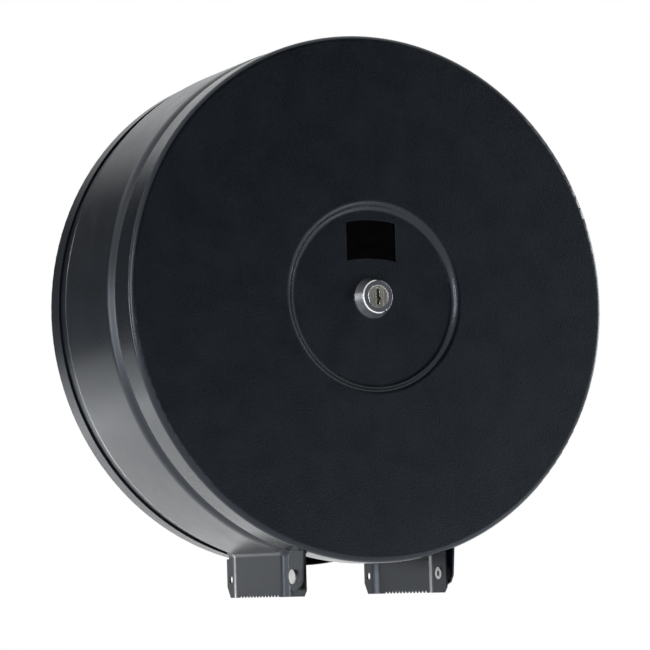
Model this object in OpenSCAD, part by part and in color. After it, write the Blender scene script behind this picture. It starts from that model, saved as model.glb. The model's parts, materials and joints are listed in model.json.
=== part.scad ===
// Jumbo toilet roll dispenser: a wall-hung sheet steel drum with a hinged front cover that locks.
// The origin is the centre of the back pan on the wall. The drum reaches along -Y and +Z is up.
// Pieces are drawn in a wall frame first: x to the right, y up, and h, the distance from the wall.

/* [Drum] */
// Outer radius of the drum's middle band
band_r = 155.7; // [150:0.1:175]
// Distance from the wall to the front face
drum_depth = 127; // [120:1:150]
// Thickness of the steel sheet
sheet = 1; // [0.6:0.1:1.1]
// How far the shell is drawn in where it nests in the back pan
rear_step = 2.3; // [1.8:0.1:3]
// Length of that drawn-in slope
rear_step_run = 10; // [8:0.5:14]
// How far the shell's neck is drawn in under the cover
front_step = 3; // [2.6:0.1:3.6]
// Length of the slope to the neck
front_step_run = 11; // [9:0.5:14]
// Stretch of the neck that shows behind the cover's edge
neck_bare = 2.2; // [1.5:0.1:4]
// How far the neck reaches under the cover
neck_reach = 13.8; // [12:0.1:15]

/* [Back pan] */
// Height of the pan's rim above the wall
rim_depth = 15; // [12:0.5:20]
// Outer radius of the pan's rounded rear corner
pan_corner_r = 3; // [2:0.5:4]
// Gap between the pan's rim and the shell inside it
nest_gap = 0.2; // [0.1:0.05:0.3]
// Bare stretch of the shell between the rim and its slope
nest_bare = 6; // [3:0.5:8]
// Spacing of the wall screws, across and up
wall_hole_spacing = 150; // [120:1:170]
// Radius of the wall screw holes
wall_hole_r = 3.25; // [2:0.05:4]

/* [Flaps] */
// Distance of each flap's outer face from the middle
flap_x = 49.6; // [44:0.1:54]
// Inside radius of the bend between shell and flap
bend_r = 3; // [2:0.5:4]
// How far the flaps reach below the drum's band
flap_reach = 17.5; // [16:0.1:24]
// Distance of the flaps' rear edge from the wall
flap_rear_h = 12; // [10:0.5:14]
// Width and height of the flaps' rear corner cut
rear_chamfer = [4.5, 6.7]; // [2:0.1:7]
// Width and height of the flaps' front corner cut
front_chamfer = [3.2, 3.2]; // [2:0.1:4]
// Number of tear teeth on each flap
tooth_count = 13; // [8:1:13]
// Width of a tooth
tooth_pitch = 4.3; // [3:0.1:4.3]
// Depth of a tooth
tooth_depth = 2; // [1:0.1:3]
// Radius of the small hole in each flap's rear edge
flap_hole_r = 2.25; // [1.5:0.05:2.5]
// Distance of that hole from the flap's rear edge
flap_hole_inset = 5.7; // [4:0.1:6]
// Distance of that hole below the drum's band
flap_hole_reach = 6.5; // [2.5:0.1:10]

/* [Cover] */
// Gap between the neck and the cover's skirt
cover_gap = 1.3; // [1.2:0.05:1.5]
// Depth of the cover from its face to the skirt's edge
skirt_depth = 21.8; // [21:0.1:22.5]
// Outer radius of the cover's rounded edge
cover_edge_r = 3.5; // [2.5:0.1:5]
// Radius of the pressed recess at the face
recess_r = 57.35; // [50:0.05:70]
// Width of the slope around the recess
recess_slope = 6.4; // [5:0.1:9]
// Depth of the recess
recess_depth = 3.5; // [2:0.1:4]

/* [Window] */
// Width of the level window
window_w = 32.4; // [24:0.1:40]
// Height of the level window
window_h = 22.8; // [14:0.1:24]
// Height of the window's top edge above the drum's axis
window_top = 45.8; // [40:0.1:46]
// Radius of the window's arched edges
window_arch_r = 83; // [60:1:150]
// Overlap of the pane around the window
pane_lap = 3.2; // [2:0.1:4]
// Thickness of the pane
pane_t = 2; // [1.5:0.1:3]

/* [Hinge] */
// Distance of the hinge axis behind the front face
hinge_setback = 16.6; // [16:0.1:17]
// Distance of the hinge axis below the drum's band
hinge_reach = 5.9; // [5.3:0.1:7.3]
// Radius of the rivet's shank
rivet_r = 2.5; // [2:0.05:3]
// Radius of the rivet's head
rivet_head_r = 4.2; // [3.5:0.05:5]
// Thickness of the rivet's head
rivet_head_t = 1.2; // [0.8:0.1:1.5]
// Radius of the rivet's rolled inner end
rivet_flare_r = 3.6; // [3.2:0.05:4]
// Radius of the rivet's hollow
rivet_bore_r = 1.7; // [1:0.05:1.9]
// Radius of the cover's ears around the rivet
ear_r = 8; // [7:0.1:8.2]
// Reach of the ears in front of the rivet
ear_reach = 11.1; // [9:0.1:12]
// Gap on each side of the washer between flap and ear
hinge_gap = 0.1; // [0.05:0.01:0.15]
// Radius of that washer
hinge_washer_r = 5; // [4:0.1:6]

/* [Spindle] */
// Radius of the spindle tube
tube_r = 20; // [17:0.5:22]
// Wall of the spindle tube
tube_wall = 2; // [1.5:0.1:3]
// Room between the tube's front end and the lock's cam
strike_room = 9; // [8:0.5:15]
// Radius of the spindle's foot
foot_r = 40; // [36:0.5:42]
// Thickness of the spindle's foot
foot_t = 2; // [1.5:0.1:3]
// Radius of the circle of foot rivets
foot_rivet_ring = 33; // [31:0.5:34]
// Outer radius of the core sleeve
sleeve_r = 28; // [27:0.5:30]
// Wall of the core sleeve's two tubes
sleeve_wall = 2; // [1.5:0.1:2.5]
// Radius of the core sleeve's rear flange
sleeve_flange_r = 45; // [42:0.5:50]
// Number of ribs inside the core sleeve
sleeve_ribs = 6; // [4:1:8]
// Running clearance on a radius
run_gap = 0.08; // [0.03:0.01:0.1]
// Play along the axis beside the core sleeve
end_play = 0.3; // [0.2:0.05:0.4]

/* [Lock] */
// Radius of the lock's bezel where it meets the cover
bezel_r = 12.3; // [11:0.1:14]
// Radius of the bezel's front ring
bezel_front_r = 9.5; // [8.5:0.1:10.5]
// Height of the bezel above the recess
bezel_t = 7.5; // [6:0.1:9]
// Radius of the lock's threaded body
lock_body_r = 8; // [7.5:0.1:9]
// Distance of the lock body's rear end behind the recess face
lock_length = 16.5; // [15:0.1:17]
// Radius of the plug's face
plug_r = 6.5; // [6:0.1:7]
// Radius of the plug's barrel
barrel_r = 5.8; // [5:0.1:5.8]
// Height of the keyway
keyway_h = 9.6; // [7:0.1:10.5]
// Width of the keyway
keyway_w = 2.2; // [1.2:0.1:2.6]
// Length of the cam from the lock's axis
cam_length = 22; // [19:0.5:24]
// Width of the cam
cam_w = 10; // [9:0.5:12]
// Thickness of the cam
cam_t = 2; // [1.5:0.1:2.5]
// Gap between the turned cam and the strike's lip
strike_gap = 0.6; // [0.4:0.1:1]
// Thickness of the strike bracket
strike_t = 1.5; // [1:0.1:2]
// Distance of the strike lip's edge from the lock's axis
strike_lip_x = 13.5; // [13:0.1:16]

/* [Hidden] */
$fn = 96;

paint_colour = "#2e3036";
steel_colour = "#b9bcc0";
chrome_colour = "#d4d7db";
plastic_colour = "#d9d9d4";

// Overshoot of a cutting shape past the face that it cuts
past = 1;
// Clearance of a fastener in a plain hole, on a radius
hole_gap = 0.05;
// Stretches that make up each smooth step of the shell
step_parts = 8;
// How much each face of the sheet draws in at a bend, and the angle by which a bend is let in
bend_thinning = 0.01;
bend_let_in = 1;

// Radii of the shell's three bands and of what they sit in or under
nest_r = band_r - rear_step;
neck_r = band_r - front_step;
pan_r = nest_r + nest_gap + sheet;
cover_r = neck_r + cover_gap + sheet;

// Distances from the wall along the drum
nest_end_h = rim_depth + nest_bare;
band_start_h = nest_end_h + rear_step_run;
skirt_edge_h = drum_depth - skirt_depth;
neck_start_h = skirt_edge_h - neck_bare;
band_end_h = neck_start_h - front_step_run;
neck_end_h = skirt_edge_h + neck_reach;
recess_h = drum_depth - recess_depth;
recess_back_h = recess_h - sheet;

// The bend between the shell and a flap turns about this centre
bend_centre_r = band_r + bend_r;
bend_x = flap_x + bend_r;
exit_half_angle = asin(bend_x / bend_centre_r);
bend_drop = bend_centre_r * cos(exit_half_angle);
flap_wall_gap = 0.3;
flap_bottom = band_r + flap_reach;

// Hinge axis, and the small hole in each flap
hinge_h = drum_depth - hinge_setback;
hinge_drop = band_r + hinge_reach;
flap_hole_h = flap_rear_h + flap_hole_inset;
flap_hole_drop = band_r + flap_hole_reach;

// Flap faces across the drum
flap_tab_x = flap_x - front_step;
ear_x = flap_x - sheet;
slot_gap = 0.7;
slot_x = flap_tab_x - sheet - slot_gap;
slot_end_gap = 2.5;
teeth_start_h = band_start_h + (band_end_h - band_start_h - tooth_count * tooth_pitch) / 2;

// Tabs that hold the shell in the pan
tab_w = 16;
tab_t = 1.2;
tab_h = 12;
tab_foot = 17;
tab_count = 6;
tab_step = 54;
tab_rivet_r = 1.6;
tab_rivet_head_r = 3;
tab_rivet_head_t = 1.2;
tab_seat_gap = 0.05;
tab_out = sqrt(pow(nest_r - sheet - tab_seat_gap, 2) - pow(tab_w / 2, 2));

// Front of the lock's bezel: its rim, and the slope that ends it
bezel_rim_t = 1;
bezel_slope_w = 0.6;
bezel_slope_t = 0.6;
bezel_slope_out = 0.4;

// Corners of an ear's outline, measured from the rivet
ear_front_drop = 1.5;
ear_corner_back = 3;
ear_corner_drop = 5.6;
ear_low_x = 3.5;
ear_low_drop = 7.2;

// Rolled end of the hinge rivet
rivet_flare_t = 0.5;
rivet_bore_floor = 0.5;

// Spindle stack, from the wall to the front
lock_end_h = recess_h - lock_length;
cam_back_h = lock_end_h - cam_t;
tube_end_h = cam_back_h - strike_room;
foot_top_h = sheet + foot_t;
foot_rivet_r = 2;
foot_rivet_head_r = 3.5;
foot_rivet_head_t = 1.5;
washer_rear_t = 2.5;
sleeve_start_h = foot_top_h + washer_rear_t + end_play;
sleeve_flange_t = 2.5;
rib_inset = 1;
washer_front_t = 1;
washer_r = 26;
ring_t = 1.2;
ring_groove = 1;
ring_r = tube_r + 3.5;
ring_opening = 50;
ring_start_h = tube_end_h - 2.6;
sleeve_end_h = ring_start_h - washer_front_t - 2 * end_play;
plug_depth = 12;
strike_screw_r = 3;
strike_screw_length = 11;
strike_head_r = 5;
strike_head_t = 3;
strike_washer_r = 6.5;
strike_washer_t = 0.8;
strike_w = 18;

// Lock stack
bezel_front_h = recess_h + bezel_t;
plug_face_h = bezel_front_h - 0.5;
collar_t = 2.6;
keyway_depth = 12;
tang_w = 7;
tang_gap = 0.05;
nut_t = 4.5;
nut_r = 12.7;
lock_washer_t = 1;
lock_washer_r = 12.5;
cam_screw_r = 2;
cam_screw_length = 8;
cam_head_r = 4.5;
cam_head_t = 2.3;
cross_w = 1.2;
cross_l = 5;
cross_depth = 1.2;
keyway_side_y = 1.2;
cam_boss_r = 7.5;
strike_lip_h = lock_end_h + strike_gap;
strike_top_h = strike_lip_h + strike_t;
strike_x = cam_length + 2;

// Turns the wall frame into the part's frame
module from_wall() {
    rotate([90, 0, 0]) children();
}

// Extrudes an outline of x and y between two distances from the wall
module plate(h0, h1) {
    translate([0, 0, h0]) linear_extrude(h1 - h0) children();
}

// Extrudes an outline of h and y between two places across the drum
module along_x(x0, x1) {
    translate([x0, 0, 0]) rotate([0, 90, 0]) linear_extrude(x1 - x0) mirror([1, 0]) children();
}

// A flat ring between two distances from the wall
module ring(r_out, r_in, h0, h1) {
    plate(h0, h1) difference() {
        circle(r_out);
        circle(r_in);
    }
}

// A round bar along the wall frame's h
module bar(r, h0, h1) {
    translate([0, 0, h0]) cylinder(r = r, h = h1 - h0);
}

// A round bar across the drum, at a distance from the wall and below the axis
module cross_bar(r, x0, x1, h, drop) {
    translate([x0, -drop, h]) rotate([0, 90, 0]) cylinder(r = r, h = x1 - x0);
}

// Part of a flat ring about c, between the angles a0 and a1
module arc_strip(c, r_in, r_out, a0, a1) {
    reach = 2 * r_out;
    mid = (a0 + a1) / 2;
    translate(c) intersection() {
        difference() {
            circle(r_out);
            circle(r_in);
        }
        polygon([[0, 0], reach * [cos(a0), sin(a0)], reach * [cos(mid), sin(mid)],
            reach * [cos(a1), sin(a1)]]);
    }
}

// A straight stretch of sheet whose outer face is at r
module strip(r, h0, h1) {
    translate([r - sheet, h0]) square([sheet, h1 - h0]);
}

// Points of a smooth step of the sheet between two outer radii, at a depth below the outer face
function step_points(r_a, h_a, r_b, h_b, depth) =
    let (turn = 2 * atan(abs(r_b - r_a) / (h_b - h_a)))
    let (arc_r = (h_b - h_a) / (2 * sin(turn)))
    let (way = sign(r_b - r_a))
    [for (i = [0 : step_parts])
        let (slope = turn * (1 - abs(1 - 2 * i / step_parts)))
        let (rise = way * arc_r * (1 - cos(slope)))
        let (run = arc_r * sin(slope))
        let (first = i <= step_parts / 2)
        [(first ? r_a + rise : r_b - rise) - depth * cos(slope),
            (first ? h_a + run : h_b - run) + depth * way * sin(slope)]];

// Points of the shell's face at a depth below its outer face, between two distances from the wall
function shell_face(h0, h1, depth) = concat([[nest_r - depth, h0]],
    step_points(nest_r, nest_end_h, band_r, band_start_h, depth),
    step_points(band_r, band_end_h, neck_r, neck_start_h, depth),
    [[neck_r - depth, h1]]);

function backwards(points) = [for (i = [len(points) - 1 : -1 : 0]) points[i]];

// Section of the shell from h0 to its front edge, as radius and distance from the wall
module shell_section(h0, thinned = 0) {
    h1 = neck_end_h - thinned;
    polygon(concat(shell_face(h0, h1, thinned), backwards(shell_face(h0, h1, sheet - thinned))));
}

// Outline of the back pan's section
module pan_section() {
    square([pan_r - pan_corner_r, sheet]);
    arc_strip([pan_r - pan_corner_r, pan_corner_r], pan_corner_r - sheet, pan_corner_r, -90, 0);
    strip(pan_r, pan_corner_r, rim_depth);
}

// Outline of the cover's section, with the pressed recess
module cover_section() {
    turn = 2 * atan(recess_depth / recess_slope);
    arc_r = recess_slope / (2 * sin(turn));
    floor_r = recess_r - recess_slope;
    edge_c = cover_r - cover_edge_r;
    translate([0, recess_back_h]) square([floor_r, sheet]);
    arc_strip([floor_r, recess_h + arc_r], arc_r, arc_r + sheet, -90, -90 + turn);
    arc_strip([recess_r, drum_depth - arc_r], arc_r - sheet, arc_r, 90, 90 + turn);
    translate([recess_r, drum_depth - sheet]) square([edge_c - recess_r, sheet]);
    arc_strip([edge_c, drum_depth - cover_edge_r], cover_edge_r - sheet, cover_edge_r, 0, 90);
    strip(cover_r, skirt_edge_h, drum_depth - cover_edge_r);
}

// Places of the four wall screws
module at_wall_holes() {
    for (x = [-1, 1], y = [-1, 1]) {
        translate([x * wall_hole_spacing / 2, y * wall_hole_spacing / 2, 0]) children();
    }
}

// Places of the tabs around the pan, with x pointing outwards
module at_tabs() {
    for (i = [0 : tab_count - 1]) {
        rotate([0, 0, -45 + i * tab_step]) children();
    }
}

// Places of the spindle's foot rivets
module at_foot_rivets() {
    for (i = [0 : 3]) {
        rotate([0, 0, i * 90]) translate([foot_rivet_ring, 0, 0]) children();
    }
}

module back_pan() {
    color(paint_colour) from_wall() difference() {
        rotate_extrude() pan_section();
        at_wall_holes() bar(wall_hole_r, -past, sheet + past);
        at_tabs() translate([tab_out - tab_foot / 2, 0, 0])
            bar(tab_rivet_r + hole_gap, -past, sheet + past);
        at_foot_rivets() bar(foot_rivet_r + hole_gap, -past, sheet + past);
    }
}

// The bend between ring and flap, on the right side, a little thinner than both and let into them
module bend() {
    translate([bend_x, -bend_drop, 0]) rotate([0, 0, 90 + exit_half_angle - bend_let_in])
        rotate_extrude(angle = 90 - exit_half_angle + 2 * bend_let_in)
            translate([bend_centre_r, 0]) mirror([1, 0])
                shell_section(rim_depth + flap_wall_gap, bend_thinning);
}

// One flap, on the right side
module flap() {
    difference() {
        translate([flap_x - band_r, -bend_drop, 0]) rotate([90, 0, 0])
            linear_extrude(flap_bottom - bend_drop) shell_section(flap_rear_h);
        flap_cuts();
    }
}

// Corner cuts, teeth and holes of one flap
module flap_cuts() {
    low = -flap_bottom;
    x0 = flap_tab_x - sheet - past;
    x1 = flap_x + past;
    along_x(x0, x1) {
        polygon([[flap_rear_h - past, low - past], [flap_rear_h - past, low + rear_chamfer[1]],
            [flap_rear_h, low + rear_chamfer[1]], [flap_rear_h + rear_chamfer[0], low],
            [flap_rear_h + rear_chamfer[0], low - past]]);
        polygon([[neck_end_h + past, low - past], [neck_end_h + past, low + front_chamfer[1]],
            [neck_end_h, low + front_chamfer[1]], [neck_end_h - front_chamfer[0], low],
            [neck_end_h - front_chamfer[0], low - past]]);
        for (i = [0 : tooth_count - 1]) {
            tooth_h = teeth_start_h + i * tooth_pitch;
            polygon([[tooth_h, low - past], [tooth_h, low], [tooth_h + tooth_pitch / 2, low + tooth_depth],
                [tooth_h + tooth_pitch, low], [tooth_h + tooth_pitch, low - past]]);
        }
    }
    cross_bar(flap_hole_r, x0, x1, flap_hole_h, flap_hole_drop);
    cross_bar(rivet_r + hole_gap, x0, x1, hinge_h, hinge_drop);
}

module drum_shell() {
    color(paint_colour) from_wall() {
        rotate([0, 0, exit_half_angle - 90]) rotate_extrude(angle = 360 - 2 * exit_half_angle)
            shell_section(pan_corner_r);
        bend();
        flap();
        mirror([1, 0, 0]) {
            bend();
            flap();
        }
    }
}

module shell_tabs() {
    color(steel_colour) from_wall() at_tabs() difference() {
        union() {
            translate([tab_out - tab_foot, -tab_w / 2, sheet]) cube([tab_foot - pan_corner_r, tab_w, tab_t]);
            translate([tab_out - pan_corner_r - tab_t, -tab_w / 2, sheet])
                cube([tab_t, tab_w, pan_corner_r]);
            translate([tab_out - pan_corner_r - tab_t, -tab_w / 2, sheet + pan_corner_r - tab_t])
                cube([pan_corner_r + tab_t, tab_w, tab_t]);
            translate([tab_out - tab_t, -tab_w / 2, sheet + pan_corner_r - tab_t])
                cube([tab_t, tab_w, tab_h - pan_corner_r]);
        }
        translate([tab_out - tab_foot / 2, 0, 0]) bar(tab_rivet_r + hole_gap, 0, sheet + tab_t + past);
    }
}

module tab_rivets() {
    color(steel_colour) from_wall() at_tabs() translate([tab_out - tab_foot / 2, 0, 0]) {
        bar(tab_rivet_r, 0, sheet + tab_t);
        bar(tab_rivet_head_r, sheet + tab_t, sheet + tab_t + tab_rivet_head_t);
    }
}

module spindle() {
    color(steel_colour) from_wall() difference() {
        union() {
            bar(foot_r, sheet, foot_top_h);
            bar(tube_r, foot_top_h, tube_end_h);
        }
        bar(tube_r - tube_wall, foot_top_h, tube_end_h + past);
        ring(tube_r + past, tube_r - ring_groove, ring_start_h, ring_start_h + ring_t);
        at_foot_rivets() bar(foot_rivet_r + hole_gap, 0, foot_top_h + past);
    }
}

module spindle_rivets() {
    color(steel_colour) from_wall() at_foot_rivets() {
        bar(foot_rivet_r, 0, foot_top_h);
        bar(foot_rivet_head_r, foot_top_h, foot_top_h + foot_rivet_head_t);
    }
}

module rear_sleeve_washer() {
    color("white") from_wall()
        ring(washer_r, tube_r + run_gap, foot_top_h, foot_top_h + washer_rear_t);
}

// The sleeve that carries the roll's core: two tubes joined by ribs, with a flange behind
module core_sleeve() {
    bore_r = tube_r + run_gap;
    rib_in = bore_r + sleeve_wall / 2;
    rib_out = sleeve_r - sleeve_wall / 2;
    rib_start_h = sleeve_start_h + sleeve_flange_t / 2;
    color(plastic_colour) from_wall() {
        ring(bore_r + sleeve_wall, bore_r, sleeve_start_h, sleeve_end_h);
        ring(sleeve_r, sleeve_r - sleeve_wall, sleeve_start_h, sleeve_end_h);
        ring(sleeve_flange_r, bore_r, sleeve_start_h, sleeve_start_h + sleeve_flange_t);
        for (i = [0 : sleeve_ribs - 1]) {
            rotate([0, 0, (i + 0.5) * 360 / sleeve_ribs]) translate([rib_in, -sleeve_wall / 2, rib_start_h])
                cube([rib_out - rib_in, sleeve_wall, sleeve_end_h - rib_inset - rib_start_h]);
        }
    }
}

module front_sleeve_washer() {
    color("white") from_wall()
        ring(washer_r, tube_r + run_gap, sleeve_end_h + end_play, ring_start_h - end_play);
}

module retaining_ring() {
    opening = ring_r * 2;
    color(steel_colour) from_wall() difference() {
        ring(ring_r, tube_r - ring_groove + hole_gap, ring_start_h, ring_start_h + ring_t);
        plate(ring_start_h - past, ring_start_h + ring_t + past)
            polygon([[0, 0], opening * [sin(-ring_opening / 2), -cos(ring_opening / 2)],
                opening * [sin(ring_opening / 2), -cos(ring_opening / 2)]]);
    }
}

// The plug welded into the tube's end, tapped for the strike's screw
module end_plug() {
    color(steel_colour) from_wall()
        ring(tube_r - tube_wall - hole_gap, strike_screw_r + hole_gap, tube_end_h - plug_depth, tube_end_h);
}

module strike_bracket() {
    color(steel_colour) from_wall() difference() {
        union() {
            translate([-strike_w / 2, -strike_w / 2, tube_end_h])
                cube([strike_w / 2 + strike_x, strike_w, strike_t]);
            translate([strike_x - strike_t, -strike_w / 2, tube_end_h])
                cube([strike_t, strike_w, strike_top_h - tube_end_h]);
            translate([strike_lip_x, -strike_w / 2, strike_lip_h])
                cube([strike_x - strike_lip_x, strike_w, strike_t]);
        }
        bar(strike_screw_r + hole_gap, tube_end_h - past, tube_end_h + strike_t + past);
    }
}

module strike_washer() {
    seat = tube_end_h + strike_t;
    color(steel_colour) from_wall()
        ring(strike_washer_r, strike_screw_r + hole_gap, seat, seat + strike_washer_t);
}

module strike_screw() {
    seat = tube_end_h + strike_t + strike_washer_t;
    color(steel_colour) from_wall() difference() {
        union() {
            bar(strike_screw_r, seat - strike_screw_length, seat);
            bar(strike_head_r, seat, seat + strike_head_t);
        }
        cross_recess(seat + strike_head_t - cross_depth, seat + strike_head_t + past);
    }
}

// A cross-shaped recess for a screwdriver
module cross_recess(h0, h1) {
    plate(h0, h1) {
        square([cross_w, cross_l], center = true);
        square([cross_l, cross_w], center = true);
    }
}

// Outline of the level window, or of the pane when grown
module window_outline(grow) {
    intersection() {
        translate([0, window_top + grow - window_arch_r]) circle(window_arch_r);
        translate([-window_w / 2 - grow, window_top - window_arch_r])
            square([window_w + 2 * grow, window_arch_r + grow]);
        difference() {
            translate([-window_w, window_top - 2 * window_h]) square([2 * window_w, 3 * window_h]);
            translate([0, window_top - window_h - grow - window_arch_r]) circle(window_arch_r);
        }
    }
}

// One hinge ear of the cover, on the right side
module ear() {
    top = -sqrt(pow(cover_r - sheet / 2, 2) - pow(flap_x - sheet / 2, 2));
    front_h = hinge_h + ear_reach;
    low = -hinge_drop;
    difference() {
        union() {
            along_x(ear_x, flap_x) polygon([[skirt_edge_h, top],
                [drum_depth - cover_edge_r, top], [front_h, low - ear_front_drop],
                [front_h - ear_corner_back, low - ear_corner_drop],
                [hinge_h + ear_low_x, low - ear_low_drop], [hinge_h, low], [hinge_h - ear_r, low]]);
            cross_bar(ear_r, ear_x, flap_x, hinge_h, hinge_drop);
        }
        cross_bar(rivet_r + run_gap, ear_x - past, flap_x + past, hinge_h, hinge_drop);
    }
}

// The slot in the skirt that lets a flap through, on the right side
module flap_slot() {
    translate([slot_x, -cover_r - past, skirt_edge_h - past])
        cube([ear_x - slot_x, 2 * skirt_depth, neck_end_h + slot_end_gap - skirt_edge_h + past]);
}

module front_cover() {
    color(paint_colour) from_wall() {
        difference() {
            rotate_extrude() cover_section();
            flap_slot();
            mirror([1, 0, 0]) flap_slot();
            bar(lock_body_r + hole_gap, recess_back_h - past, recess_h + past);
            plate(recess_back_h - past, recess_h + past) window_outline(0);
        }
        ear();
        mirror([1, 0, 0]) ear();
    }
}

module window_pane() {
    color("#101114") from_wall() plate(recess_back_h - pane_t, recess_back_h) window_outline(pane_lap);
}

module lock_housing() {
    color(chrome_colour) from_wall() difference() {
        union() {
            bar(lock_body_r, lock_end_h, recess_h);
            rotate_extrude() polygon([[0, recess_h], [bezel_r, recess_h], [bezel_r, recess_h + bezel_rim_t],
                [bezel_front_r + bezel_slope_out, bezel_front_h - bezel_slope_t],
                [bezel_front_r + bezel_slope_out - bezel_slope_w, bezel_front_h], [0, bezel_front_h]]);
        }
        bar(barrel_r + run_gap, lock_end_h - past, bezel_front_h + past);
        bar(plug_r + run_gap, plug_face_h - collar_t, bezel_front_h + past);
    }
}

module lock_washer() {
    color(steel_colour) from_wall()
        ring(lock_washer_r, lock_body_r + hole_gap, recess_back_h - lock_washer_t, recess_back_h);
}

module lock_nut() {
    seat = recess_back_h - lock_washer_t;
    color(steel_colour) from_wall() difference() {
        translate([0, 0, seat - nut_t]) cylinder(r = nut_r, h = nut_t, $fn = 6);
        bar(lock_body_r + hole_gap, seat - nut_t - past, seat + past);
    }
}

// The turning barrel: a collar in front, a square tang behind, and the keyway
module lock_plug() {
    color(chrome_colour) from_wall() difference() {
        union() {
            bar(barrel_r, lock_end_h, plug_face_h);
            bar(plug_r, plug_face_h - collar_t + hole_gap, plug_face_h);
            translate([-tang_w / 2, -tang_w / 2, cam_back_h]) cube([tang_w, tang_w, cam_t]);
        }
        plate(plug_face_h - keyway_depth, plug_face_h + past) {
            square([keyway_w, keyway_h], center = true);
            translate([keyway_w / 2, -keyway_side_y]) circle(keyway_w / 2);
        }
        bar(cam_screw_r + hole_gap, cam_back_h - past, cam_back_h + cam_screw_length);
    }
}

module lock_cam() {
    hole_w = tang_w + 2 * tang_gap;
    color(steel_colour) from_wall() difference() {
        plate(cam_back_h, lock_end_h) {
            circle(cam_boss_r);
            translate([-cam_w / 2, 0]) square([cam_w, cam_length - cam_w / 2]);
            translate([0, cam_length - cam_w / 2]) circle(cam_w / 2);
        }
        translate([-hole_w / 2, -hole_w / 2, cam_back_h - past]) cube([hole_w, hole_w, cam_t + 2 * past]);
    }
}

module cam_screw() {
    color(steel_colour) from_wall() difference() {
        union() {
            bar(cam_screw_r, cam_back_h, cam_back_h + cam_screw_length - hole_gap);
            bar(cam_head_r, cam_back_h - cam_head_t, cam_back_h);
        }
        cross_recess(cam_back_h - cam_head_t - past, cam_back_h - cam_head_t + cross_depth);
    }
}

// A hollow rivet on the right side, its head outside the ear and its rolled end inside the flap
module hinge_rivet() {
    head_x = flap_x + hinge_gap;
    flare_x = flap_tab_x - sheet;
    difference() {
        union() {
            cross_bar(rivet_r, flare_x, head_x, hinge_h, hinge_drop);
            cross_bar(rivet_head_r, head_x, head_x + rivet_head_t, hinge_h, hinge_drop);
            cross_bar(rivet_flare_r, flare_x - rivet_flare_t, flare_x, hinge_h, hinge_drop);
        }
        cross_bar(rivet_bore_r, flare_x - past, head_x - rivet_bore_floor, hinge_h, hinge_drop);
    }
}

// The washer on the rivet between flap and ear, on the right side
module hinge_washer() {
    difference() {
        cross_bar(hinge_washer_r, flap_tab_x + hinge_gap, ear_x - hinge_gap, hinge_h, hinge_drop);
        cross_bar(rivet_r + hole_gap, flap_tab_x - past, ear_x + past, hinge_h, hinge_drop);
    }
}

module hinge_rivet_left() {
    color(chrome_colour) from_wall() mirror([1, 0, 0]) hinge_rivet();
}

module hinge_rivet_right() {
    color(chrome_colour) from_wall() hinge_rivet();
}

module hinge_washer_left() {
    color("white") from_wall() mirror([1, 0, 0]) hinge_washer();
}

module hinge_washer_right() {
    color("white") from_wall() hinge_washer();
}

back_pan();
drum_shell();
shell_tabs();
tab_rivets();
spindle();
spindle_rivets();
rear_sleeve_washer();
core_sleeve();
front_sleeve_washer();
retaining_ring();
end_plug();
strike_bracket();
strike_washer();
strike_screw();
front_cover();
window_pane();
lock_housing();
lock_washer();
lock_nut();
lock_plug();
lock_cam();
cam_screw();
hinge_rivet_left();
hinge_rivet_right();
hinge_washer_left();
hinge_washer_right();
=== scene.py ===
"""Looks, light and camera for the jumbo toilet roll dispenser."""

import json
import math

import bpy
from mathutils import Matrix, Vector


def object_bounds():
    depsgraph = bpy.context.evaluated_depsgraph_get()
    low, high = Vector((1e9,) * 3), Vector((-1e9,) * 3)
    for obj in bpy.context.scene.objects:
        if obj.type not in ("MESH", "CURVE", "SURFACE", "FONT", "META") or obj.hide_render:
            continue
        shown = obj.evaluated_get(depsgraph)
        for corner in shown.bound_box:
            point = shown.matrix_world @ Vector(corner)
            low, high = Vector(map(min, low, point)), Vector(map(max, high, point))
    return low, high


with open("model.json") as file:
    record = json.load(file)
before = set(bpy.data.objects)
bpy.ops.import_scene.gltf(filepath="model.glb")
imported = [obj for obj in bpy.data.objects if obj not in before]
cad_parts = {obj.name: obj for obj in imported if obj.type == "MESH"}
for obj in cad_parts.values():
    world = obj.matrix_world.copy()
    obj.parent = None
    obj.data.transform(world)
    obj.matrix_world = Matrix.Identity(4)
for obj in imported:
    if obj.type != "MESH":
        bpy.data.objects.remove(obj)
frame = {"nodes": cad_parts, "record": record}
CAD_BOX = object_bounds()
NODES = frame["nodes"]
SCENE = bpy.context.scene

# Camera, as fitted to the photograph, in metres and degrees
CAMERA_AZIMUTH = -26.4
CAMERA_ELEVATION = -5.13
CAMERA_ROLL = -1.55
CAMERA_DISTANCE = 1.745
CAMERA_TARGET = Vector((0, -0.06, 0))
CAMERA_RIGHT = 0.00017
CAMERA_UP = -0.01018
CAMERA_LENS = 159.6
SENSOR_WIDTH = 36

# Stage, in metres
FLOOR_DROP = 0.35
FLOOR_SIZE = 30

# Texture sizes, as repeats per metre
GRAIN_SCALE = 950
ORANGE_PEEL_SCALE = 260
MOTTLE_SCALE = 60
MOULD_SCALE = 2400
SCRATCH_SCALE = 700
SPANGLE_SCALE = 180

# Radius by which shading rounds every edge, in metres
EDGE_RADIUS = 0.0003

# Powder coat: its gloss and the cool tint of that gloss
PAINT_IOR = 1.5
PAINT_TINT = (0.74, 0.85, 1, 1)
PAINT_DARK = (0.0028, 0.0036, 0.0054)
PAINT_LIGHT = (0.004, 0.005, 0.0072)
# The cover's tones are the same coat as the drum's, made about half as bright: painted shade for its dark
# front face.
COVER_SHADED_DARK = (0.0006, 0.0009, 0.0016)
COVER_SHADED_LIGHT = (0.0032, 0.0046, 0.0076)

# Glow of the world below and above the part and of the floor, and the tint of the cards
WORLD_BELOW = 0.9
WORLD_ABOVE = 0.14
FLOOR_GLOW = 0.5
CARD_TINT = (0.86, 0.93, 1, 1)


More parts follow.
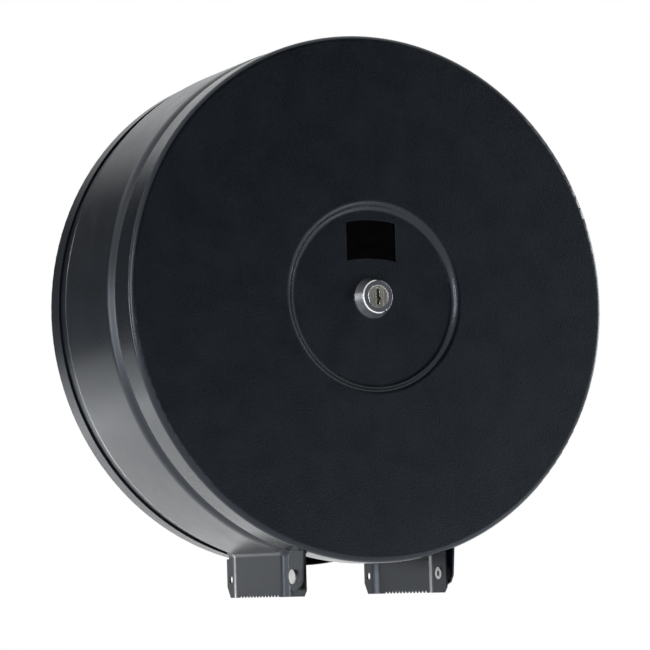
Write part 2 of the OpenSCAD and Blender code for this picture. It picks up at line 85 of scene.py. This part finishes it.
class Shader:
    """A new material with its Principled shader, and short ways to add nodes."""

    def __init__(self, name):
        self.material = bpy.data.materials.new(name)
        self.material.use_nodes = True
        self.tree = self.material.node_tree
        self.principled = self.tree.nodes["Principled BSDF"]
        self.object_space = self.add("ShaderNodeTexCoord").outputs["Object"]

    def add(self, kind, **settings):
        node = self.tree.nodes.new(kind)
        for key, value in settings.items():
            setattr(node, key, value)
        return node

    def link(self, source, target):
        self.tree.links.new(source, target)

    def set(self, **values):
        for key, value in values.items():
            self.principled.inputs[key.replace("_", " ")].default_value = value

    def feed(self, source, key):
        self.link(source, self.principled.inputs[key])

    def noise(self, scale, detail=2.0, roughness=0.5, stretch=(1, 1, 1)):
        mapping = self.add("ShaderNodeMapping")
        mapping.inputs["Scale"].default_value = stretch
        self.link(self.object_space, mapping.inputs["Vector"])
        node = self.add("ShaderNodeTexNoise")
        node.inputs["Scale"].default_value = scale
        node.inputs["Detail"].default_value = detail
        node.inputs["Roughness"].default_value = roughness
        self.link(mapping.outputs["Vector"], node.inputs["Vector"])
        return node.outputs["Fac"]

    def spread(self, source, low, high, span=(0.3, 0.7)):
        """Maps a texture's span to the values from low to high."""
        node = self.add("ShaderNodeMapRange")
        node.inputs["From Min"].default_value = span[0]
        node.inputs["From Max"].default_value = span[1]
        node.inputs["To Min"].default_value = low
        node.inputs["To Max"].default_value = high
        self.link(source, node.inputs["Value"])
        return node.outputs["Result"]

    def colours(self, source, low, high, span=(0.3, 0.7)):
        ramp = self.add("ShaderNodeValToRGB")
        ramp.color_ramp.elements[0].position = span[0]
        ramp.color_ramp.elements[0].color = (*low, 1)
        ramp.color_ramp.elements[1].position = span[1]
        ramp.color_ramp.elements[1].color = (*high, 1)
        self.link(source, ramp.inputs["Fac"])
        return ramp.outputs["Color"]

    def math(self, operation, a, b):
        node = self.add("ShaderNodeMath", operation=operation)
        for socket, value in zip(node.inputs, (a, b)):
            if isinstance(value, (int, float)):
                socket.default_value = value
            else:
                self.link(value, socket)
        return node.outputs["Value"]

    def soft_edges(self):
        node = self.add("ShaderNodeBevel", samples=4)
        node.inputs["Radius"].default_value = EDGE_RADIUS
        return node.outputs["Normal"]

    def bump(self, height, distance, strength=1.0, normal=None):
        node = self.add("ShaderNodeBump")
        node.inputs["Distance"].default_value = distance
        if isinstance(strength, (int, float)):
            node.inputs["Strength"].default_value = strength
        else:
            self.link(strength, node.inputs["Strength"])
        self.link(height, node.inputs["Height"])
        if normal is not None:
            self.link(normal, node.inputs["Normal"])
        return node.outputs["Normal"]


def facing_front(shader):
    """1 where the part's own surface faces forwards, 0 on its sides."""
    coordinates = shader.add("ShaderNodeTexCoord")
    split = shader.add("ShaderNodeSeparateXYZ")
    shader.link(coordinates.outputs["Normal"], split.inputs["Vector"])
    return shader.spread(split.outputs["Y"], 1, 0, span=(-0.995, -0.93))


def smooth_paint(name, dark, light, roughness):
    """Satin powder coat with a faint orange peel."""
    shader = Shader(name)
    shader.set(IOR=PAINT_IOR, Specular_Tint=PAINT_TINT)
    peel = shader.noise(ORANGE_PEEL_SCALE, detail=1.5)
    mottle = shader.noise(MOTTLE_SCALE, detail=4)
    shader.feed(shader.colours(mottle, dark, light), "Base Color")
    shader.feed(shader.spread(mottle, roughness - 0.03, roughness + 0.03), "Roughness")
    shader.feed(shader.bump(peel, 0.00002, normal=shader.soft_edges()), "Normal")
    return shader


def grained_paint(name, dark, light, roughness):
    """Powder coat whose front has a fine sandy grain and whose sides are satin."""
    shader = Shader(name)
    shader.set(IOR=PAINT_IOR, Specular_Tint=PAINT_TINT)
    grain = shader.noise(GRAIN_SCALE, detail=2, roughness=0.6)
    mottle = shader.noise(MOTTLE_SCALE, detail=4)
    front = facing_front(shader)
    speckle = shader.math("MULTIPLY", shader.math("SUBTRACT", grain, 0.5), front)
    tone = shader.math("ADD", speckle, shader.spread(mottle, 0.47, 0.53))
    shader.feed(shader.colours(tone, dark, light, span=(0.38, 0.66)), "Base Color")
    rough = shader.spread(mottle, roughness - 0.03, roughness + 0.03)
    shader.feed(shader.math("ADD", rough, shader.math("MULTIPLY", front, 0.12)), "Roughness")
    strength = shader.math("ADD", shader.math("MULTIPLY", front, 0.9), 0.1)
    normal = shader.bump(grain, 0.00012, strength, shader.soft_edges())
    shader.feed(normal, "Normal")
    return shader


def plated_steel(name):
    """Zinc plated steel with faint spangle and rubbed marks."""
    shader = Shader(name)
    shader.set(Metallic=1.0)
    spangle = shader.noise(SPANGLE_SCALE, detail=3)
    marks = shader.noise(SCRATCH_SCALE, detail=4, stretch=(1, 0.08, 1))
    shader.feed(shader.colours(spangle, (0.46, 0.47, 0.48), (0.66, 0.67, 0.68)), "Base Color")
    shader.feed(shader.spread(marks, 0.26, 0.44), "Roughness")
    shader.feed(shader.bump(marks, 0.00001, 0.6, shader.soft_edges()), "Normal")
    return shader


def bright_metal(name, dark, light, rough_low, rough_high):
    """Polished or satin metal with fine wear."""
    shader = Shader(name)
    shader.set(Metallic=1.0)
    wear = shader.noise(SPANGLE_SCALE, detail=6, roughness=0.65)
    scratches = shader.noise(SCRATCH_SCALE, detail=3, stretch=(1, 1, 0.1))
    shader.feed(shader.colours(wear, dark, light), "Base Color")
    shader.feed(shader.spread(scratches, rough_low, rough_high), "Roughness")
    shader.feed(shader.bump(wear, 0.000006, 0.4, shader.soft_edges()), "Normal")
    return shader


def moulded_plastic(name, dark, light, roughness):
    """Moulded plastic with a fine spark texture."""
    shader = Shader(name)
    shader.set(IOR=1.5)
    texture = shader.noise(MOULD_SCALE, detail=2)
    mottle = shader.noise(MOTTLE_SCALE, detail=3)
    shader.feed(shader.colours(mottle, dark, light), "Base Color")
    shader.feed(shader.spread(texture, roughness - 0.06, roughness + 0.06), "Roughness")
    shader.feed(shader.bump(texture, 0.00002, 0.5, shader.soft_edges()), "Normal")
    return shader


def smoked_pane(name):
    """Nearly black acrylic with a film of dust."""
    shader = Shader(name)
    shader.set(IOR=1.49, Specular_IOR_Level=0.12)
    dust = shader.noise(SPANGLE_SCALE, detail=5)
    shader.feed(shader.colours(dust, (0.0006, 0.0006, 0.0007), (0.0014, 0.0014, 0.0015)), "Base Color")
    shader.feed(shader.spread(dust, 0.1, 0.22), "Roughness")
    return shader


def make_materials():
    """One material for each of the record's slots."""
    return {
        # The cover's coat takes the darker tones, which paint the shade of its front face.
        "cover_paint": grained_paint("cover_paint", COVER_SHADED_DARK, COVER_SHADED_LIGHT, 0.26),
        "drum_paint": smooth_paint("drum_paint", PAINT_DARK, PAINT_LIGHT, 0.3),
        "pan_paint": smooth_paint("pan_paint", PAINT_DARK, PAINT_LIGHT, 0.32),
        "zinc_steel": plated_steel("zinc_steel"),
        "lock_chrome": bright_metal("lock_chrome", (0.62, 0.63, 0.66), (0.78, 0.79, 0.82), 0.05, 0.12),
        "plug_nickel": bright_metal("plug_nickel", (0.74, 0.71, 0.63), (0.88, 0.85, 0.77), 0.2, 0.34),
        "rivet_aluminium": bright_metal("rivet_aluminium", (0.6, 0.6, 0.59), (0.8, 0.8, 0.79), 0.3, 0.45),
        "nylon": moulded_plastic("nylon", (0.68, 0.68, 0.64), (0.78, 0.78, 0.75), 0.5),
        "sleeve_plastic": moulded_plastic("sleeve_plastic", (0.5, 0.51, 0.5), (0.58, 0.59, 0.58), 0.45),
        "smoked_pane": smoked_pane("smoked_pane"),
    }


def dress_nodes():
    """Gives every node the material of its slot."""
    made = make_materials()
    for row in frame["record"]["subparts"]:
        node = NODES[row["node"]]
        material = made[row["material_slot"]].material
        if not node.material_slots:
            node.data.materials.append(material)
        for place in node.material_slots:
            place.material = material


def backdrop_strength(tree):
    """1 for what the camera, metal and glass see, mixed over a strength of its own in socket A."""
    path = tree.nodes.new("ShaderNodeLightPath")
    bright = tree.nodes.new("ShaderNodeMath")
    bright.operation = "MAXIMUM"
    tree.links.new(path.outputs["Is Camera Ray"], bright.inputs[0])
    tree.links.new(path.outputs["Is Transmission Ray"], bright.inputs[1])
    seen = tree.nodes.new("ShaderNodeMath")
    seen.operation = "MAXIMUM"
    tree.links.new(bright.outputs["Value"], seen.inputs[0])
    tree.links.new(path.outputs["Is Glossy Ray"], seen.inputs[1])
    mix = tree.nodes.new("ShaderNodeMix")
    mix.data_type = "FLOAT"
    mix.inputs["B"].default_value = 1.0
    tree.links.new(seen.outputs["Value"], mix.inputs["Factor"])
    return mix


def make_world():
    """A studio that is bright below and behind the part and dim above and before it."""
    world = bpy.data.worlds.new("studio")
    world.use_nodes = True
    SCENE.world = world
    tree = world.node_tree
    direction = tree.nodes.new("ShaderNodeTexCoord").outputs["Generated"]
    split = tree.nodes.new("ShaderNodeSeparateXYZ")
    tree.links.new(direction, split.inputs["Vector"])
    height = tree.nodes.new("ShaderNodeMapRange")
    height.interpolation_type = "SMOOTHSTEP"
    height.inputs["From Min"].default_value = -0.55
    height.inputs["From Max"].default_value = 0.35
    height.inputs["To Min"].default_value = WORLD_BELOW
    height.inputs["To Max"].default_value = WORLD_ABOVE
    tree.links.new(split.outputs["Z"], height.inputs["Value"])
    background = tree.nodes["Background"]
    background.inputs["Color"].default_value = (1, 1, 1, 1)
    mix = backdrop_strength(tree)
    tree.links.new(height.outputs["Result"], mix.inputs["A"])
    tree.links.new(mix.outputs["Result"], background.inputs["Strength"])


def make_floor():
    """A pale floor below the part that keeps its shadow."""
    bpy.ops.mesh.primitive_plane_add(size=FLOOR_SIZE, location=(0, 0, CAD_BOX[0].z - FLOOR_DROP))
    floor = bpy.context.object
    floor.name = "floor"
    material = bpy.data.materials.new("floor")
    material.use_nodes = True
    tree = material.node_tree
    principled = tree.nodes["Principled BSDF"]
    principled.inputs["Base Color"].default_value = (0.82, 0.82, 0.82, 1)
    principled.inputs["Roughness"].default_value = 0.9
    principled.inputs["Emission Color"].default_value = (1, 1, 1, 1)
    mix = backdrop_strength(tree)
    mix.inputs["A"].default_value = FLOOR_GLOW
    tree.links.new(mix.outputs["Result"], principled.inputs["Emission Strength"])
    floor.data.materials.append(material)


def card(name, place, width, height, foot, top):
    """A dark card that the paint reflects, with its brightness at its foot and at its top."""
    bpy.ops.mesh.primitive_plane_add(size=1)
    sheet = bpy.context.object
    sheet.name = name
    sheet.scale = (width, height, 1)
    sheet.location = place
    sheet.rotation_mode = "QUATERNION"
    sheet.rotation_quaternion = (CAMERA_TARGET - Vector(place)).to_track_quat("Z", "Y")
    sheet.visible_camera = False
    sheet.visible_diffuse = False
    sheet.visible_shadow = False
    material = bpy.data.materials.new(name)
    material.use_nodes = True
    tree = material.node_tree
    tree.nodes.remove(tree.nodes["Principled BSDF"])
    split = tree.nodes.new("ShaderNodeSeparateXYZ")
    tree.links.new(tree.nodes.new("ShaderNodeTexCoord").outputs["Generated"], split.inputs["Vector"])
    strength = tree.nodes.new("ShaderNodeMapRange")
    strength.inputs["To Min"].default_value = foot
    strength.inputs["To Max"].default_value = top
    tree.links.new(split.outputs["Y"], strength.inputs["Value"])
    glow = tree.nodes.new("ShaderNodeEmission")
    glow.inputs["Color"].default_value = CARD_TINT
    tree.links.new(strength.outputs["Result"], glow.inputs["Strength"])
    tree.links.new(glow.outputs["Emission"], tree.nodes["Material Output"].inputs["Surface"])
    sheet.data.materials.append(material)


def make_cards():
    """One card for the cover's face to reflect and one, behind, for the drum's side."""
    card("front_card", (0.25, -1.8, 0.72), 2.5, 2.7, 0.16, 0.0)
    card("rear_card", (-0.75, 1.9, -0.2), 2.6, 2.6, 0.34, 0.03)


def soft_light(name, place, width, height, brightness):
    """A rectangular softbox that faces the part, of an even brightness over its face."""
    data = bpy.data.lights.new(name, "AREA")
    data.shape = "RECTANGLE"
    data.size = width
    data.size_y = height
    data.energy = brightness * math.pi * width * height
    lamp = bpy.data.objects.new(name, data)
    lamp.location = place
    lamp.rotation_mode = "QUATERNION"
    lamp.rotation_quaternion = (CAMERA_TARGET - Vector(place)).to_track_quat("-Z", "Y")
    lamp.visible_camera = False
    SCENE.collection.objects.link(lamp)


def make_lights():
    """Narrow strips that draw the lines of light on bends and edges, and low panels for the underside."""
    soft_light("left_strip", (-2.2, 0.75, -0.1), 0.3, 0.9, 12)
    soft_light("right_box", (2.0, 0.0, 0.3), 0.5, 0.9, 10)
    soft_light("low_panel", (0.7, -0.8, -0.6), 0.5, 0.4, 4)
    soft_light("edge_strip", (-1.95, -0.9, 0.2), 0.25, 1.0, 14)
    soft_light("rear_strip", (0.1, 2.0, 0.0), 0.5, 1.0, 3.5)
    soft_light("flap_light", (-0.27, 0.385, -0.13), 0.25, 0.13, 0.7)
    soft_light("rear_low", (-0.3, 2.0, -0.35), 1.6, 0.5, 1.6)


def make_camera():
    """The photograph's view."""
    azimuth = math.radians(CAMERA_AZIMUTH)
    elevation = math.radians(CAMERA_ELEVATION)
    roll = math.radians(CAMERA_ROLL)
    back = Vector((math.sin(azimuth) * math.cos(elevation),
                   -math.cos(azimuth) * math.cos(elevation), math.sin(elevation)))
    level = (-back).cross(Vector((0, 0, 1))).normalized()
    upright = level.cross(-back)
    right = level * math.cos(roll) + upright * math.sin(roll)
    up = upright * math.cos(roll) - level * math.sin(roll)
    data = bpy.data.cameras.new("camera")
    data.sensor_width = SENSOR_WIDTH
    data.lens = CAMERA_LENS
    camera = bpy.data.objects.new("camera", data)
    place = CAMERA_TARGET + back * CAMERA_DISTANCE + right * CAMERA_RIGHT + up * CAMERA_UP
    camera.matrix_world = Matrix.Translation(place) @ Matrix((right, up, back)).transposed().to_4x4()
    SCENE.collection.objects.link(camera)
    SCENE.camera = camera


make_camera()
dress_nodes()
make_world()
make_floor()
make_cards()
make_lights()
SCENE.view_settings.view_transform = "Standard"
